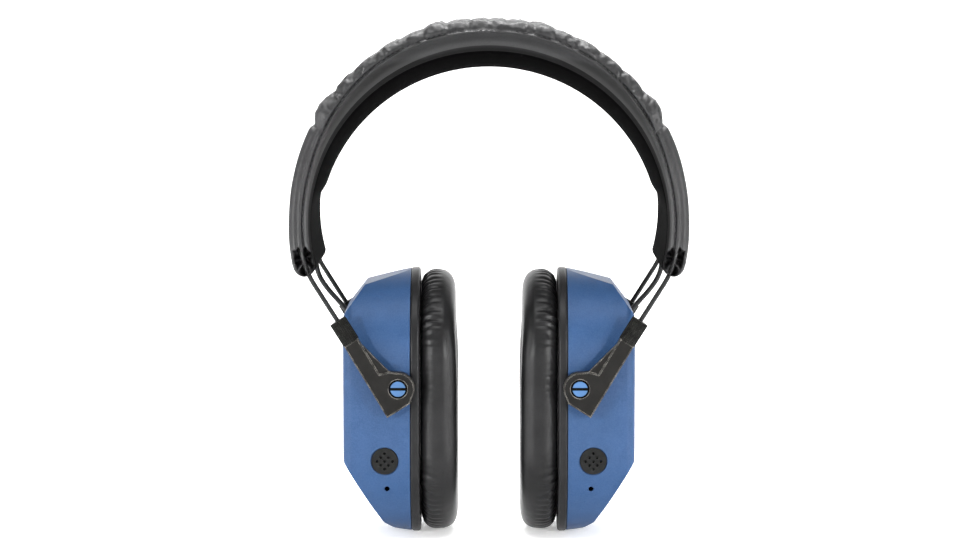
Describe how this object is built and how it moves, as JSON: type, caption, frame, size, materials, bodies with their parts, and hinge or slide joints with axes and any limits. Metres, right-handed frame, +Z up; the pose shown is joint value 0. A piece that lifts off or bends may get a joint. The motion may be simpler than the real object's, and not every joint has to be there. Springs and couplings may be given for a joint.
{
  "type": "earmuff hearing protector",
  "caption": "Over-ear hearing protector: padded headband on two spring wires, sliding yoke arms, tilting blue ear cups with soft cushions, microphones and controls.",
  "frame": {"origin": "the head saddle: the lowest point of the padding under the middle of the headband, where the wearer's head holds the part", "axes": "+Z up, +X to the right seen from the front, -Y towards the front (microphone side)"},
  "size_m": [0.165, 0.0874, 0.218],
  "materials": {
    "leatherette": "soft satin synthetic leather, fine grain, gathered top",
    "cushion_leatherette": "soft satin synthetic leather, smooth with small puckers",
    "foam": "open-cell acoustic foam",
    "wire_steel": "black coated spring steel wire",
    "cable_rubber": "matte black cable jacket",
    "black_plastic": "fine-textured black moulding",
    "arm_plastic": "textured black nylon, edges worn lighter",
    "shell_blue": "spark-eroded blue ABS, satin",
    "stud_blue": "smooth blue plastic, slotted",
    "grille": "dark grey perforated disc",
    "button_rubber": "matte black silicone",
    "board": "green solder mask",
    "speaker": "dark driver basket and cone",
    "scrim_cloth": "thin black acoustic cloth",
    "bright_steel": "plated steel",
    "battery": "plain printed cell sleeve, no marks"
  },
  "bodies": {
    "headband": {"headband_cover": "leatherette", "headband_foam": "foam", "headband_pad": "leatherette", "front_wire": "wire_steel", "rear_wire": "wire_steel", "link_cable": "cable_rubber", "left_wire_keeper": "black_plastic", "right_wire_keeper": "black_plastic", "left_cable_lead": "cable_rubber", "right_cable_lead": "cable_rubber"},
    "left_yoke": {"left_front_arm": "arm_plastic", "left_rear_arm": "arm_plastic", "left_front_collar": "arm_plastic", "left_rear_collar": "arm_plastic", "left_wire_bushes": "button_rubber"},
    "left_cup": {"left_shell": "shell_blue", "left_base_plate": "black_plastic", "left_baffle": "black_plastic", "left_speaker": "speaker", "left_scrim": "scrim_cloth", "left_studs": "stud_blue", "left_mic_grille": "grille", "left_microphone": "speaker", "left_foam_liner": "foam", "left_cup_screws": "bright_steel", "left_cushion_ring": "black_plastic", "left_cushion_cover": "cushion_leatherette", "left_cushion_foam": "foam", "left_cable_boot": "cable_rubber", "circuit_board": "board", "audio_jack": "black_plastic"},
    "right_yoke": {"right_front_arm": "arm_plastic", "right_rear_arm": "arm_plastic", "right_front_collar": "arm_plastic", "right_rear_collar": "arm_plastic", "right_wire_bushes": "button_rubber"},
    "right_cup": {"right_shell": "shell_blue", "right_base_plate": "black_plastic", "right_baffle": "black_plastic", "right_speaker": "speaker", "right_scrim": "scrim_cloth", "right_studs": "stud_blue", "right_mic_grille": "grille", "right_microphone": "speaker", "right_foam_liner": "foam", "right_cup_screws": "bright_steel", "right_cushion_ring": "black_plastic", "right_cushion_cover": "cushion_leatherette", "right_cushion_foam": "foam", "right_cable_boot": "cable_rubber", "battery_tray": "black_plastic", "door_pin": "bright_steel", "batteries": "battery", "battery_contacts": "bright_steel"},
    "volume_up_button": {"volume_up_button": "button_rubber"},
    "power_button": {"power_button": "button_rubber"},
    "volume_down_button": {"volume_down_button": "button_rubber"},
    "battery_door": {"battery_door": "shell_blue"}
  },
  "joints": [
    {"name": "left_height", "type": "slide", "parent": "headband", "child": "left_yoke", "axis": [-0.5344, 0, 0.8453], "range_m": [-0.015, 0.014], "deforming": ["left_cable_lead"]},
    {"name": "left_tilt", "type": "hinge", "parent": "left_yoke", "child": "left_cup", "pos_m": [-0.0375, 0, -0.13139], "axis": [0, 1, 0], "range_deg": [-12, 12], "deforming": ["left_cable_lead"]},
    {"name": "right_height", "type": "slide", "parent": "headband", "child": "right_yoke", "axis": [0.5344, 0, 0.8453], "range_m": [-0.015, 0.014], "deforming": ["right_cable_lead"]},
    {"name": "right_tilt", "type": "hinge", "parent": "right_yoke", "child": "right_cup", "pos_m": [0.0375, 0, -0.13139], "axis": [0, 1, 0], "range_deg": [-12, 12], "deforming": ["right_cable_lead"]},
    {"name": "volume_up_button_press", "type": "slide", "parent": "left_cup", "child": "volume_up_button", "axis": [1, 0, 0], "range_m": [0, 0.0005], "stiffness_N_per_m": 2500, "springref_m": -0.0004},
    {"name": "power_button_press", "type": "slide", "parent": "left_cup", "child": "power_button", "axis": [1, 0, 0], "range_m": [0, 0.0005], "stiffness_N_per_m": 2500, "springref_m": -0.0004},
    {"name": "volume_down_button_press", "type": "slide", "parent": "left_cup", "child": "volume_down_button", "axis": [1, 0, 0], "range_m": [0, 0.0005], "stiffness_N_per_m": 2500, "springref_m": -0.0004},
    {"name": "battery_door_hinge", "type": "hinge", "parent": "right_cup", "child": "battery_door", "pos_m": [0.0591, 0, -0.1074], "axis": [0, -1, 0], "range_deg": [0, 85]}
  ]
}
